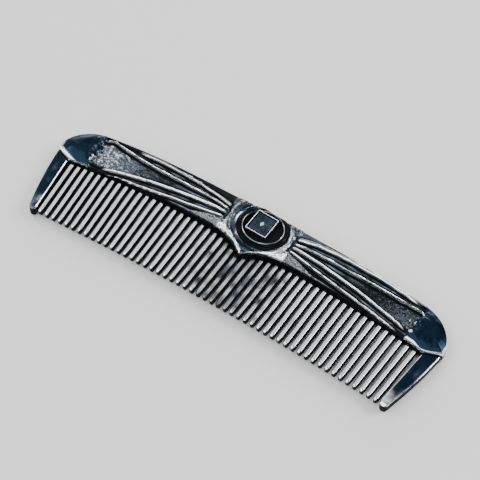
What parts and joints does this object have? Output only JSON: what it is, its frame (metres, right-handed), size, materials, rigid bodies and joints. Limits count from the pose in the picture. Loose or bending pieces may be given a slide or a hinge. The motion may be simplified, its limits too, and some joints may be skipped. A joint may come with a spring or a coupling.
{
  "type": "beard comb",
  "caption": "Metal beard comb with a relief spine, separately set teeth, wedge end guards, domed ends and an oval medallion with a raised square plaque.",
  "frame": {"origin": "under the middle of the comb, on the surface that its flat back rests on", "axes": "+X along the comb, +Y from the teeth towards the spine, +Z out of the relief side"},
  "size_m": [0.109, 0.0302, 0.0061],
  "materials": {
    "relief_metal": "cast silver with a dark blue-black patina in its hollows and polished high spots",
    "back_metal": "hand-finished silver with fine scratches and a light patina",
    "tooth_metal": "bright filed silver, slightly uneven, dark at the roots",
    "guard_metal": "smooth silver with a blue-black patina and bright edges",
    "bezel_metal": "polished ring with dark grooves",
    "plate_metal": "oxidised black",
    "plaque_metal": "polished border round an oxidised field",
    "inner_metal": "plain filed strip",
    "rivet_metal": "filed flush"
  },
  "bodies": {
    "root": {"front_shell": "relief_metal", "back_shell": "back_metal", "tooth_carrier": "inner_metal", "left_end_guard": "guard_metal", "right_end_guard": "guard_metal", "medallion_bezel": "bezel_metal", "medallion_plate": "plate_metal", "plaque": "plaque_metal", "rivets": "rivet_metal", "tooth_01": "tooth_metal", "tooth_02": "tooth_metal", "tooth_03": "tooth_metal", "tooth_04": "tooth_metal", "tooth_05": "tooth_metal", "tooth_06": "tooth_metal", "tooth_07": "tooth_metal", "tooth_08": "tooth_metal", "tooth_09": "tooth_metal", "tooth_10": "tooth_metal", "tooth_11": "tooth_metal", "tooth_12": "tooth_metal", "tooth_13": "tooth_metal", "tooth_14": "tooth_metal", "tooth_15": "tooth_metal", "tooth_16": "tooth_metal", "tooth_17": "tooth_metal", "tooth_18": "tooth_metal", "tooth_19": "tooth_metal", "tooth_20": "tooth_metal", "tooth_21": "tooth_metal", "tooth_22": "tooth_metal", "tooth_23": "tooth_metal", "tooth_24": "tooth_metal", "tooth_25": "tooth_metal", "tooth_26": "tooth_metal", "tooth_27": "tooth_metal", "tooth_28": "tooth_metal", "tooth_29": "tooth_metal", "tooth_30": "tooth_metal", "tooth_31": "tooth_metal", "tooth_32": "tooth_metal", "tooth_33": "tooth_metal", "tooth_34": "tooth_metal", "tooth_35": "tooth_metal", "tooth_36": "tooth_metal", "tooth_37": "tooth_metal", "tooth_38": "tooth_metal", "tooth_39": "tooth_metal", "tooth_40": "tooth_metal", "tooth_41": "tooth_metal", "tooth_42": "tooth_metal", "tooth_43": "tooth_metal", "tooth_44": "tooth_metal", "tooth_45": "tooth_metal", "tooth_46": "tooth_metal", "tooth_47": "tooth_metal", "tooth_48": "tooth_metal", "tooth_49": "tooth_metal", "tooth_50": "tooth_metal", "tooth_51": "tooth_metal"}
  },
  "joints": []
}
